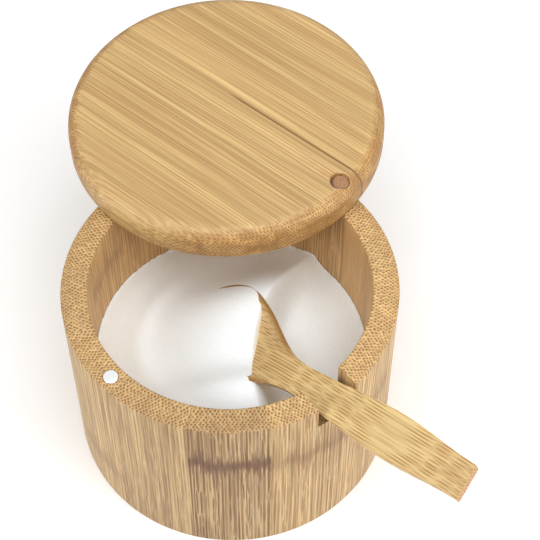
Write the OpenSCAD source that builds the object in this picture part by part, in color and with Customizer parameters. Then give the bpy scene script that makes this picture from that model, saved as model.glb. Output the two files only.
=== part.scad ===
// Round bamboo salt box with a swivelling lid, held shut by a pair of magnets,
// and a wooden scoop that leans in a notch of the rim.
// Millimetres, +Z up. The origin is on the axis of the cup, on the face it stands on.
// The lid is drawn swung open and the scoop is drawn in its notch.

/* [Cup] */
// Outer diameter of the cup
body_d = 90; // [88:0.5:110]
// Height of the cup without its lid
body_h = 62.4; // [50:0.2:80]
// Diameter of the bore that holds the salt
cup_d = 75.9; // [62:0.1:77]
// Width of the broken edges of the rim
rim_break = 0.5; // [0.2:0.1:1]

/* [Base disc] */
// Width of the ledge round the bore that the disc is glued up to
disc_ledge = 2.55; // [1.5:0.05:3.5]
// Thickness of the disc
disc_t = 6; // [4:0.5:9]

/* [Lid] */
// How far the edge of the shut lid stands back from the side of the cup
lid_inset = 0.5; // [0.2:0.1:2]
// Thickness of the lid
lid_t = 9.3; // [8.5:0.1:14]
// Radius of the rounded upper edge of the lid
lid_round = 4.3; // [1:0.1:4.5]
// Bevel of the lower edge of the lid
lid_bevel = 0.6; // [0.2:0.1:1.5]
// Angle by which the lid is swung away from shut, seen from above and turning clockwise
lid_swing = 82.1; // [0:0.1:180]

/* [Pivot] */
// Direction of the pivot from the axis of the cup
pivot_azimuth = 40.3; // [35:0.1:60]
// Distance of the pivot from the bore of the cup
pivot_wall = 2.25; // [2.1:0.05:3.5]
// Diameter of the screw's shank
shank_d = 3; // [2.5:0.1:3.5]
// Depth of the screw in the wall of the cup
shank_grip = 16; // [10:1:24]
// Diameter of the screw's head
head_d = 4.9; // [4.2:0.1:6]
// Height of the screw's head
head_h = 1.7; // [1.2:0.1:2]
// Length of each arm of the cross in the head, from end to end
cross_l = 3; // [2:0.1:3.4]
// Width of an arm of the cross
cross_w = 0.8; // [0.5:0.1:1]
// Depth of the cross
cross_h = 0.9; // [0.5:0.1:1]
// Length of the screw's point
shank_tip = 3; // [2:0.5:5]
// Wood left below the head
sink_web = 3.2; // [2.5:0.1:4]
// Thickness of the wooden plug over the head
plug_t = 2; // [1.5:0.1:2.5]

/* [Magnets] */
// Direction of the magnets from the axis of the cup, with the lid shut
magnet_azimuth = 221; // [200:0.5:240]
// Distance of the magnets' centres from the side of the cup
magnet_wall = 3.5; // [3:0.1:4.5]
// Diameter of a magnet
magnet_d = 4; // [3:0.1:5]
// Thickness of a magnet
magnet_t = 2; // [1.5:0.1:4]

/* [Notch] */
// Direction of the notch from the axis of the cup
notch_azimuth = -54; // [-60:1:-48]

/* [Scoop] */
// Direction of the scoop's handle, seen from above
scoop_azimuth = -51; // [-54:0.5:-49]
// Slope of the handle above level
scoop_slope = 22.9; // [16:0.1:26]
// Roll of the scoop about its length, which lowers its left edge
scoop_roll = 16; // [0:1:17]
// Length of the handle outside the bore
handle_l = 54.8; // [40:0.2:70]
// Half width of the handle at its end
handle_end_w = 4.7; // [3:0.1:6]
// Half width of the handle at its widest
handle_belly_w = 6.1; // [5:0.1:7]
// Distance from the bore to the widest place of the handle
handle_belly_x = 27; // [18:0.5:32]
// Thickness of the handle
handle_t = 2.8; // [2:0.1:3.6]
// Half width of the neck
neck_w = 4.3; // [3.5:0.1:4.8]
// Distance of the neck inside the bore
neck_x = 9; // [8:0.5:12]
// Half width of the scoop's bowl
bowl_w = 14.6; // [10:0.2:15.6]
// Distance of the widest place of the bowl inside the bore
bowl_x = 43; // [34:0.5:44]
// Length of the bowl's rounded tip
tip_l = 15; // [9:0.5:16]
// Outer depth of the bowl
bowl_t = 7; // [5:0.1:8]
// Depth of the hollow in the bowl
hollow_h = 4.8; // [2:0.1:5.2]
// Width of the bowl's flat rim
lip_w = 1.6; // [1:0.1:2.5]
// Thickness of the scoop's outer edge
edge_t = 1.2; // [0.8:0.1:1.6]
// Tilt from upright of the way the scoop is lifted out, so that it misses the open lid
lift_tilt = 35; // [33:1:38]
// Travel of the scoop along that way
lift_l = 62; // [58:1:80]

/* [Salt] */
// Height of the salt at the wall, above the base disc
salt_h = 25; // [14:0.5:27]
// Height of the heap in the middle, above the salt at the wall
heap_h = 8; // [2:0.5:9]

/* [Clearances] */
// Running gap between the rim and the lid
lid_gap = 0.25; // [0.2:0.05:0.5]
// Gap round the screw's head in the hole sunk in the lid
sink_gap = 0.25; // [0.1:0.05:0.5]
// Gap round the shank in the lid, and below the screw's head
shank_gap = 0.08; // [0.05:0.01:0.1]
// Gap between the screw's head and the plug over it
head_gap = 0.3; // [0.2:0.05:0.5]
// Gap round a piece that is glued or driven in
glue_gap = 0.05; // [0.02:0.01:0.1]
// Gap on each side of the scoop's handle in the notch
notch_side = 1.1; // [0.8:0.1:2]
// Height between the handle and the plane of the rim, where the handle passes the lid's edge
notch_room = 0.5; // [0.2:0.05:1]
// Gap between the scoop and the floor of the notch
seat_gap = 0.2; // [0.1:0.05:0.4]
// Gap between the salt and the cup
salt_gap = 0.1; // [0.05:0.05:0.3]
// Gap between the salt and the scoop on its way out
pit_gap = 0.4; // [0.3:0.1:1]

/* [Hidden] */

$fn = 96;
past = 1; // how far a cut runs past the surface that it opens

cup_r = cup_d / 2;
disc_d = cup_d + 2 * disc_ledge;
lid_d = body_d - 2 * lid_inset;
lid_z = body_h + lid_gap;
pivot_r = cup_r + pivot_wall;
magnet_r = body_d / 2 - magnet_wall;
sink_d = head_d + 2 * sink_gap;
sink_z = lid_z + sink_web;
head_z = sink_z + shank_gap;
plug_z = head_z + head_h + head_gap;
shank_end_z = body_h - shank_grip;
round_steps = 16;

// Goes from a to b as t goes from 0 to 1, level at both ends
function ease(a, b, t) = a + (b - a) * (1 - cos(180 * t)) / 2;

// Where x lies between a, which counts as 0, and b, which counts as 1
function share(x, a, b) = (x - a) / (b - a);

// Half width of the scoop at x along it, which is 0 at the bore and grows towards the handle's end
function half_w(x) =
    x > handle_belly_x ? ease(handle_belly_w, handle_end_w, share(x, handle_belly_x, handle_l))
    : x > -neck_x ? ease(neck_w, handle_belly_w, share(x, -neck_x, handle_belly_x))
    : x > -bowl_x ? ease(neck_w, bowl_w, share(x, -neck_x, -bowl_x))
    : bowl_w * sqrt(1 - pow((-bowl_x - x) / tip_l, 2));

// Share of the bowl's full depth that the scoop has at x, 0 along the handle
function bowl_share(x) = x > -neck_x ? 0 : max(0, share(half_w(x), neck_w, bowl_w));

// How steep the hollow's sides are, and how flat the scoop's underside is
hollow_power = 0.75;
keel_power = 3;

// Height of the upper face at x and at the share u of the half width
function top_z(x, u) =
    let (inner = min(1, abs(u) * half_w(x) / (half_w(x) - lip_w)))
    -hollow_h * bowl_share(x) * pow(1 - pow(inner, 2), hollow_power);

// Height of the lower face at x and at the share u of the half width
function under_z(x, u) =
    let (full = handle_t + (bowl_t - handle_t) * bowl_share(x))
    -edge_t - (full - edge_t) * sqrt(1 - pow(abs(u), keel_power));

// Places of the scoop's cross-sections: even along the handle and bowl, closer round the tip
tip_turn = 80;
handle_steps = 10;
bowl_steps = 10;
tip_steps = 7;
scoop_x = concat(
    [for (i = [0 : handle_steps]) handle_l - i * (handle_l + neck_x) / handle_steps],
    [for (i = [1 : bowl_steps]) -neck_x - i * (bowl_x - neck_x) / bowl_steps],
    [for (i = [1 : tip_steps]) -bowl_x - tip_l * sin(i * tip_turn / tip_steps)]
);
across = 10;
shares = [for (j = [0 : across]) -cos(180 * j / across)];

function scoop_ring(x) = concat(
    [for (u = shares) [x, u * half_w(x), top_z(x, u)]],
    [for (j = [across : -1 : 0]) [x, shares[j] * half_w(x), under_z(x, shares[j])]]
);

// How far the handle reaches below the middle of its upper face where it crosses the bore
scoop_drop = max([for (u = shares)
    -under_z(0, u) * cos(scoop_roll) + u * half_w(0) * sin(scoop_roll)]) / cos(scoop_slope);

// How far the raised edge of the handle has climbed above that middle where it passes the lid's edge
lid_edge_x = (lid_d / 2 - cup_r) / cos(scoop_slope);
scoop_climb = lid_edge_x * sin(scoop_slope) + half_w(lid_edge_x) * sin(scoop_roll) * cos(scoop_slope);

// The notch takes the handle on its whole way through the wall
wall_x = (body_d / 2 - cup_r) / cos(scoop_slope);
notch_w = 2 * max([for (t = shares) half_w(max(0, t) * wall_x)]) + 2 * notch_side;
notch_h = seat_gap + scoop_drop + scoop_climb + notch_room;
notch_floor_z = body_h - notch_h;
scoop_z = notch_floor_z + seat_gap + scoop_drop;

lift_axis = [
    sin(lift_tilt) * cos(scoop_azimuth),
    sin(lift_tilt) * sin(scoop_azimuth),
    cos(lift_tilt)
];

// Carries a shape drawn along X to the pivot
module at_pivot() {
    rotate([0, 0, pivot_azimuth])
        translate([pivot_r, 0, 0])
            children();
}

// Carries a shape drawn on the Z axis to the magnets' place
module at_magnets() {
    rotate([0, 0, magnet_azimuth])
        translate([magnet_r, 0, 0])
            children();
}

// Swings a shape of the lid from shut to the place where it stands open
module swung_open() {
    at_pivot()
        rotate([0, 0, -lid_swing])
            translate([-pivot_r, 0, 0])
                rotate([0, 0, -pivot_azimuth])
                    children();
}

// Lays a shape drawn along the scoop in the notch
module in_notch() {
    translate([cup_r * cos(notch_azimuth), cup_r * sin(notch_azimuth), scoop_z])
        rotate([0, 0, scoop_azimuth])
            rotate([0, -scoop_slope, 0])
                rotate([scoop_roll, 0, 0])
                    children();
}

module body() {
    color("burlywood")
        difference() {
            rotate_extrude()
                polygon([
                    [cup_r, disc_t],
                    [disc_d / 2 + glue_gap, disc_t],
                    [disc_d / 2 + glue_gap, 0],
                    [body_d / 2 - rim_break, 0],
                    [body_d / 2, rim_break],
                    [body_d / 2, body_h - rim_break],
                    [body_d / 2 - rim_break, body_h],
                    [cup_r + rim_break, body_h],
                    [cup_r, body_h - rim_break]
                ]);
            rotate([0, 0, notch_azimuth])
                translate([cup_r / 2, -notch_w / 2, notch_floor_z])
                    cube([body_d / 2, notch_w, notch_h + past]);
            at_pivot()
                translate([0, 0, shank_end_z - shank_gap])
                    cylinder(h = shank_grip + shank_gap + past, d = shank_d + 2 * glue_gap);
            at_magnets()
                translate([0, 0, body_h - magnet_t - glue_gap])
                    cylinder(h = magnet_t + glue_gap + past, d = magnet_d + 2 * glue_gap);
        }
}

module base_disc() {
    color("tan")
        cylinder(h = disc_t - glue_gap, d = disc_d);
}

module lid() {
    color("navajowhite")
        swung_open()
            difference() {
                translate([0, 0, lid_z])
                    rotate_extrude()
                        polygon(concat(
                            [[0, 0], [lid_d / 2 - lid_bevel, 0], [lid_d / 2, lid_bevel]],
                            [for (i = [0 : round_steps]) let (a = 90 * i / round_steps) [
                                lid_d / 2 - lid_round * (1 - cos(a)),
                                lid_t - lid_round * (1 - sin(a))
                            ]],
                            [[0, lid_t]]
                        ));
                at_pivot()
                    translate([0, 0, lid_z - past])
                        cylinder(h = sink_web + 2 * past, d = shank_d + 2 * shank_gap);
                at_pivot()
                    translate([0, 0, sink_z])
                        cylinder(h = lid_t, d = sink_d);
                at_magnets()
                    translate([0, 0, lid_z - past])
                        cylinder(h = magnet_t + glue_gap + past, d = magnet_d + 2 * glue_gap);
            }
}

module pivot_screw() {
    color("silver")
        at_pivot()
            difference() {
                union() {
                    translate([0, 0, shank_end_z])
                        cylinder(h = shank_tip, d1 = shank_d / 4, d2 = shank_d);
                    translate([0, 0, shank_end_z + shank_tip])
                        cylinder(h = head_z - shank_end_z - shank_tip, d = shank_d);
                    translate([0, 0, head_z])
                        cylinder(h = head_h, d = head_d);
                }
                for (turn = [0, 90])
                    translate([0, 0, head_z + head_h])
                        rotate([0, 0, turn])
                            cube([cross_l, cross_w, 2 * cross_h], center = true);
            }
}

module pivot_plug() {
    color("peru")
        swung_open()
            at_pivot()
                translate([0, 0, plug_z])
                    cylinder(h = plug_t, d = sink_d - 2 * glue_gap);
}

module rim_magnet() {
    color("lightgray")
        at_magnets()
            translate([0, 0, body_h - magnet_t])
                cylinder(h = magnet_t, d = magnet_d);
}

module lid_magnet() {
    color("lightgray")
        swung_open()
            at_magnets()
                translate([0, 0, lid_z])
                    cylinder(h = magnet_t, d = magnet_d);
}

// One triangle of the flat face that closes an end of the scoop, between its upper and lower edge
function cap_face(first, upper, lower, half, turned) =
    let (f = half == 0 ? [upper, upper + 1, lower] : [upper + 1, lower - 1, lower])
    turned ? [first + f[2], first + f[1], first + f[0]] : [first + f[0], first + f[1], first + f[2]];

// The whole scoop is one skin over its cross-sections, which follow the formulas above
module scoop() {
    ring = 2 * (across + 1);
    last = len(scoop_x) - 1;
    points = [for (x = scoop_x) for (p = scoop_ring(x)) p];
    faces = concat(
        [for (i = [0 : last - 1]) for (j = [0 : ring - 1]) for (half = [0, 1])
            let (a = i * ring + j, b = i * ring + (j + 1) % ring)
            half == 0 ? [a, b + ring, b] : [a, a + ring, b + ring]],
        [for (j = [0 : across - 1]) for (half = [0, 1]) cap_face(0, j, ring - 1 - j, half, false)],
        [for (j = [0 : across - 1]) for (half = [0, 1]) cap_face(last * ring, j, ring - 1 - j, half, true)]
    );
    color("khaki")
        in_notch()
            polyhedron(points = points, faces = faces, convexity = 4);
}

// The room that the bowl and neck take up in the salt, with the gap round them
module bowl_room() {
    side = [for (x = scoop_x) if (x <= -neck_x) [x, half_w(x) + pit_gap]];
    other_side = [for (i = [len(side) - 1 : -1 : 0]) [side[i][0], -side[i][1]]];
    tip = [-bowl_x - tip_l - pit_gap, 0];
    in_notch()
        translate([0, 0, -bowl_t - pit_gap])
            linear_extrude(bowl_t + 2 * pit_gap)
                polygon(concat(side, [tip], other_side));
}

// The salt is a low heap, open where the scoop lies and is lifted out
module salt() {
    salt_r = cup_r - salt_gap;
    heap_steps = 12;
    color("white")
        difference() {
            translate([0, 0, disc_t])
                rotate_extrude()
                    polygon(concat(
                        [[0, 0], [salt_r, 0]],
                        [for (i = [0 : heap_steps]) [
                            salt_r * (1 - i / heap_steps),
                            ease(salt_h, salt_h + heap_h, i / heap_steps)
                        ]]
                    ));
            hull() {
                bowl_room();
                translate(lift_axis * lift_l)
                    bowl_room();
            }
        }
}

body();
base_disc();
lid();
pivot_screw();
pivot_plug();
rim_magnet();
lid_magnet();
scoop();
salt();
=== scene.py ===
"""Round bamboo salt box: the cup and its swivelling lid, the scoop in its notch and the salt.

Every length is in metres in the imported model's frame, +Z up. The cup's axis is the Z axis and
it stands on z = 0. The lid is drawn swung open, as in the frame.
"""

import math

import bmesh
import bpy
import numpy as np
from bpy.props import FloatProperty, FloatVectorProperty, PointerProperty
from bpy.types import Operator, Panel, PropertyGroup
from mathutils import Matrix, Vector


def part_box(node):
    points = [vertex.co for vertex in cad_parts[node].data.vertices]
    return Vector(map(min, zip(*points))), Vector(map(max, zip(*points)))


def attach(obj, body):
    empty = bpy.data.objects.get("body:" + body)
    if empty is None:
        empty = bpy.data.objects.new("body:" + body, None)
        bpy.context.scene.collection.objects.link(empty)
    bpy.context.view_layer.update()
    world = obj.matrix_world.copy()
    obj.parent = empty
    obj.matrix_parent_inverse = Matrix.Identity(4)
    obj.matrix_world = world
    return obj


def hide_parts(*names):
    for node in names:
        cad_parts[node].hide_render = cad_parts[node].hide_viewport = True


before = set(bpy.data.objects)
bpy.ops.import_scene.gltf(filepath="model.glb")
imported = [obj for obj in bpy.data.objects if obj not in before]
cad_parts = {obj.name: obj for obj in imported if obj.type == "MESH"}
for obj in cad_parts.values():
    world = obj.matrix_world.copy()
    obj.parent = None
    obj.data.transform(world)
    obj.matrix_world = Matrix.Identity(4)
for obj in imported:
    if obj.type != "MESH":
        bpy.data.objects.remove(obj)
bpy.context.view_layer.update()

bl_info = {
    "name": "Bamboo salt box",
    "version": (1, 0, 0),
    "blender": (4, 5, 0),
    "location": "3D View > Sidebar > Salt Box",
    "description": "Builds the pieces of a bamboo salt box round its packed model",
    "category": "Add Mesh",
}

MM = 0.001
FIT = 0.05 * MM  # Gap between a small piece and the pocket that holds it
SMOOTH_ANGLE = math.radians(38)  # Edges sharper than this stay sharp in the shading
WHITE = (1.0, 1.0, 1.0, 1.0)


def srgb(red, green, blue):
    """A colour given as 0 to 255 on the screen, as the linear values that shaders take."""
    shares = np.array([red, green, blue]) / 255
    linear = np.where(shares <= 0.04045, shares / 12.92, ((shares + 0.055) / 1.055) ** 2.4)
    return tuple(float(value) for value in linear)


def length(label, about, millimetres):
    """A property for a length, kept in metres and shown in the scene's units."""
    return FloatProperty(
        name=label,
        description=about,
        default=millimetres * MM,
        subtype="DISTANCE",
        unit="LENGTH",
        precision=5,
    )


def angle(label, about, degrees):
    """A property for an angle, kept in radians and shown in degrees."""
    return FloatProperty(
        name=label,
        description=about,
        default=math.radians(degrees),
        subtype="ANGLE",
        unit="ROTATION",
    )


def colour(label, about, red, green, blue):
    """A property for a colour, whose default is given as 0 to 255 on the screen."""
    return FloatVectorProperty(
        name=label,
        description=about,
        default=srgb(red, green, blue),
        subtype="COLOR",
        size=3,
        min=0,
        max=1,
    )


def per_stave(label, about, values):
    """A property with one number for each stave of the cup."""
    return FloatVectorProperty(name=label, description=about, default=values, size=len(values))


def span(node):
    """Middle, size and lowest corner of a CAD node's box, as arrays."""
    low, high = (np.array(corner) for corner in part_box(node))
    return (low + high) / 2, high - low, low


class CupSettings(PropertyGroup):
    """Sizes and colours of the cup and of the disc that closes it."""

    edge_round: length("Edge round", "Radius of the cup's broken edges", 0.5)
    ledge: length("Ledge", "Width of the ledge round the bore that the base disc meets", 2.55)
    notch_turn: angle("Notch turn", "Direction of the notch seen from above", -54)
    notch_width: length("Notch width", "Width of the notch in the rim", 12.389)
    notch_depth: length("Notch depth", "Depth of the notch below the rim", 8.295)
    pocket_bevel: length("Pocket bevel", "Width of the magnet pocket's bevel", 0.18)
    pocket_bevel_depth: length("Pocket bevel depth", "Depth of the magnet pocket's bevel", 0.5)
    disc_round: length("Disc round", "Radius of the base disc's lower edge", 0.3)
    stave_turn: angle("Stave turn", "Direction of the seam before the first stave", -78.5)
    # The staves' own lightness; the high tone of stave 1, on the right in front, is partly painted light
    # for the brighter light on that side
    tones: per_stave(
        "Tones",
        "Lightness of each stave, anticlockwise from the first seam",
        (1.03, 1.14, 1.08, 1.02, 0.96, 0.96, 0.98, 0.95, 0.93, 0.92, 0.97, 0.9, 0.85),
    )
    node_heights: per_stave(
        "Node heights",
        "Height in millimetres at which each stave had a node",
        (41.5, 42.0, 20.0, 30.0, 12.0, 45.0, 25.0, 30.0, 48.0, 28.0, 16.0, 30.0, 44.5),
    )
    node_strengths: per_stave(
        "Node strengths",
        "How clearly each stave shows its node",
        (0.5, 0.4, 0.5, 0.0, 0.6, 0.3, 0.0, 0.0, 0.4, 0.0, 0.35, 0.0, 1.0),
    )
    dashes: per_stave(
        "Dashes",
        "How clearly short dashes show along each stave",
        (0.5, 0.35, 0.3, 0.2, 0.5, 0.3, 0.2, 0.4, 0.3, 0.2, 0.25, 0.3, 0.75),
    )
    side: colour("Side", "Wood on the sides of the cup", 232, 198, 143)
    inside: colour("Inside", "Wood in the cup's bore", 222, 178, 116)
    end: colour("End grain", "Wood between the fibres on the rim", 221, 184, 126)
    fibre: colour("Fibre", "Fibres that show as dots on the rim and as streaks below", 126, 84, 46)
    node_mark: colour("Node", "Dark band where the bamboo had a node", 114, 74, 50)


class LidSettings(PropertyGroup):
    """Sizes and colours of the lid."""

    top_round: length("Top round", "Radius of the lid's upper edge", 4.3)
    bevel: length("Bevel", "Bevel of the lid's lower edge", 0.6)
    shank_hole: length("Shank hole", "Radius of the hole for the screw's shank", 1.58)
    web: length("Web", "Thickness of the lid under the screw's head", 3.2)
    hole_bevel: length("Hole bevel", "Width of the sunk hole's bevel", 0.45)
    hole_bevel_depth: length("Hole bevel depth", "Depth of the sunk hole's bevel", 0.3)
    grain_turn: angle("Grain turn", "Direction of the lid's grain seen from above", -41.7)
    strip_width: length("Strip width", "Width of the strips that the lid is glued from", 14.4)
    strip_shift: length("Strip shift", "Shift of the strips across the grain", -4.9)
    face: colour("Face", "Wood on the lid's top", 228, 194, 133)
    end: colour("End grain", "Wood between the fibres on the lid's edge", 208, 166, 104)
    fibre: colour("Fibre", "Fibres in the lid", 146, 100, 52)
    seam: colour("Seam", "Glue line between two strips", 128, 92, 48)


class ScoopSettings(PropertyGroup):
    """Sizes and colours of the scoop. Along it, 0 is where its handle crosses the bore."""

    turn: angle("Turn", "Direction of the handle seen from above", -51)
    slope: angle("Slope", "Slope of the handle above level", 22.9)
    roll: angle("Roll", "Roll about the scoop's length, which lowers its left edge", 16)
    crossing: length("Crossing", "Height of the handle's middle where it crosses the bore", 57.85)
    handle_length: length("Handle length", "Length of the handle outside the bore", 53.6)
    handle_end: length("Handle end", "Half width of the handle at its end", 4.7)
    belly: length("Belly", "Half width of the handle at its widest", 6.1)
    belly_place: length("Belly place", "Distance from the bore to the handle's widest place", 27)
    handle_thickness: length("Handle thickness", "Thickness of the handle", 2.8)
    end_thickness: length("End thickness", "Thickness of the handle at its end", 1.9)
    end_slant: angle("End slant", "How far the handle's end is out of square", 10.8)
    bend: length("Bend", "How far the bowl lies to the left of the handle's line", 1.0)
    bend_place: length("Bend place", "Distance inside the bore to where the bowl lies most aside", 34)
    bend_end: length("Bend end", "Distance inside the bore to where the bend is over", 48)
    square_from: length("Square from", "Distance from the bore to where the handle turns square", 15)
    square_to: length("Square to", "Distance from the bore to where the handle is square", 45)
    neck: length("Neck", "Half width of the neck", 4.3)
    neck_place: length("Neck place", "Distance of the neck inside the bore", 9)
    bowl: length("Bowl", "Half width of the bowl", 14.6)
    bowl_place: length("Bowl place", "Distance of the bowl's widest place inside the bore", 43)
    tip: length("Tip", "Length of the bowl's rounded tip", 15)
    bowl_depth: length("Bowl depth", "Outer depth of the bowl", 7)
    hollow: length("Hollow", "Depth of the hollow in the bowl", 4.8)
    lip: length("Lip", "Width of the bowl's flat rim", 1.6)
    edge: length("Edge", "Thickness of the scoop's outer edge", 1.2)
    edge_round: length("Edge round", "Width of the scoop's softened edges", 0.2)
    face: colour("Face", "Wood of the scoop", 234, 204, 143)
    end: colour("End grain", "Wood on the end of the handle", 218, 176, 128)
    # Painted shade: the darker colour along the bowl's lip stands for the shade on its steep inner rim
    shade: colour("Lip", "Browner wood along the lip of the bowl", 152, 108, 56)
    end_fibre: colour("End fibre", "Browner fibres towards the end of the handle", 168, 104, 56)
    fibre: colour("Fibre", "Fibres that show as short dashes along the scoop", 152, 106, 50)
    fibre_slant: angle("Fibre slant", "How far the fibres run out of the face at the handle's ends", 8)


class SaltSettings(PropertyGroup):
    """Heights and colour of the salt."""

    level: length("Level", "Height of the salt's surface away from the scoop", 30.8)
    lean: length("Lean", "How much higher the salt lies at the left wall than at the right", 2.3)
    ridge: length("Ridge", "Height of the ridge that leans on the scoop", 15.6)
    front: length("Front", "What the ridge gains near the front wall", 12.8)
    ridge_left: length("Ridge left", "Reach of the ridge to the left", 17.5)
    ridge_right: length("Ridge right", "Reach of the ridge to the right, under the scoop", 2.5)
    swell: length("Swell", "Height of the faint swell along the left wall", 0.8)
    body: colour("Salt", "Colour of the grains", 247, 253, 255)


class MetalSettings(PropertyGroup):
    """Colours of the metal pieces and of the plug."""

    magnet: colour("Magnet", "Bright plating of the magnets", 244, 244, 246)
    screw: colour("Screw", "Plating of the pivot screw", 188, 188, 192)
    # Painted shade: the dark crescent on the plug's near side stands for the shade in its sunk hole
    gap: colour("Gap", "Dark gap between the plug and its hole", 78, 50, 46)
    plug: colour("Plug", "Wooden plug in the sunk hole", 172, 128, 88)


class StageSettings(PropertyGroup):
    """Floor, light and camera."""

    floor: colour("Floor", "Colour of the floor as the object is lit by it", 244, 244, 244)
    floor_glow: FloatProperty(
        name="Floor glow", description="What the camera sees added to the floor", default=0.08
    )
    floor_radius: length("Floor radius", "Radius of the round floor", 3000)
    key_power: FloatProperty(
        name="Key", description="Power of the large lamp above the camera", default=6.9, unit="POWER"
    )
    fill_power: FloatProperty(
        name="Fill", description="Power of the two low lamps at the sides", default=2.7, unit="POWER"
    )
    sky: FloatProperty(name="Sky", description="Strength of the even light from all round", default=0.27)
    camera_height: length("Camera height", "Height of the camera over the floor", 409.5)
    camera_back: length("Camera back", "Distance of the camera in front of the cup's axis", 237)
    camera_pitch: angle("Camera pitch", "How far the camera looks down", 55.2)
    camera_yaw: angle("Camera yaw", "How far the camera looks to the right", 2.56)


def ease(start, end, share):
    """Goes from start to end as share goes from 0 to 1, along half a cosine wave."""
    return start + (end - start) * (1 - np.cos(np.pi * share)) / 2


def loose_faces(lines, columns, around, along):
    """Quads of a grid of lines by columns points. around joins the last column to the first, and along
    the last line to the first."""
    index = np.arange(lines * columns).reshape(lines, columns)
    down = np.roll(index, -1, axis=0)
    right = np.roll(index, -1, axis=1)
    corner = np.roll(down, -1, axis=1)
    quads = np.stack([index, right, corner, down], axis=-1)
    if not along:
        quads = quads[:-1]
    if not around:
        quads = quads[:, :-1]
    return quads.reshape(-1, 4)


def make_piece(name, points, around=True, along=False, smooth_angle=SMOOTH_ANGLE):
    """A closed mesh from a grid of points: points that coincide are merged, which closes poles and seams,
    and the faces are turned outwards, which is where the grid's signed volume is positive."""
    vertices = points.reshape(-1, 3)
    quads = loose_faces(*points.shape[:2], around, along)
    first, second, third, fourth = (vertices[quads[:, k]] for k in range(4))
    volume = np.cross(first, second) * third + np.cross(first, third) * fourth
    if volume.sum() < 0:
        quads = quads[:, ::-1]
    mesh = bpy.data.meshes.new(name)
    mesh.from_pydata(vertices, [], quads)
    work = bmesh.new()
    work.from_mesh(mesh)
    bmesh.ops.remove_doubles(work, verts=work.verts, dist=1e-7)
    bmesh.ops.dissolve_degenerate(work, edges=work.edges, dist=1e-7)
    work.to_mesh(mesh)
    work.free()
    return finish_mesh(name, mesh, smooth_angle)


def finish_mesh(name, mesh, smooth_angle):
    """An object of that mesh, shaded smooth except over edges sharper than smooth_angle."""
    mesh.polygons.foreach_set("use_smooth", np.ones(len(mesh.polygons), dtype=bool))
    mesh.set_sharp_from_angle(angle=smooth_angle)
    mesh.update()
    piece = bpy.data.objects.new(name, mesh)
    bpy.context.scene.collection.objects.link(piece)
    return piece


def arc(centre, radius, start, end, steps=5):
    """Points of a circle's arc in a profile, from the start to the end angle in degrees."""
    turn = np.radians(np.linspace(start, end, steps))
    return np.stack([centre[0] + radius * np.cos(turn), centre[1] + radius * np.sin(turn)], axis=1)


def turned(profile, centre=(0, 0), steps=160):
    """Carries a profile of (radius, height) rows round an upright axis through centre."""
    turn = np.linspace(0, 2 * np.pi, steps, endpoint=False)
    radius, height = profile[:, 0, None], profile[:, 1, None]
    x, y = centre[0] + radius * np.cos(turn), centre[1] + radius * np.sin(turn)
    return np.stack(np.broadcast_arrays(x, y, height), axis=-1)


def rows(*parts):
    """Joins points and runs of points into one profile."""
    return np.concatenate([np.atleast_2d(np.array(part, dtype=float)) for part in parts])


def flared(radius, top, wider, depth):
    """The upper part of a cutter's profile: it widens over the depth below the top and ends above it."""
    wide = radius + wider
    return rows((radius, top - depth), (wide, top + FIT), (wide, top + MM), (0, top + MM))


def cut(piece, *cutters):
    """Takes the cutters out of the piece for good and removes them."""
    for cutter in cutters:
        step = piece.modifiers.new("cut", "BOOLEAN")
        step.operation = "DIFFERENCE"
        step.solver = "EXACT"
        step.object = cutter
    bpy.context.view_layer.update()
    solid = piece.evaluated_get(bpy.context.evaluated_depsgraph_get())
    mesh = bpy.data.meshes.new_from_object(solid)
    piece.modifiers.clear()
    mesh.set_sharp_from_angle(angle=SMOOTH_ANGLE)
    piece.data = mesh
    for cutter in cutters:
        bpy.data.objects.remove(cutter)
    return piece


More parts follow.
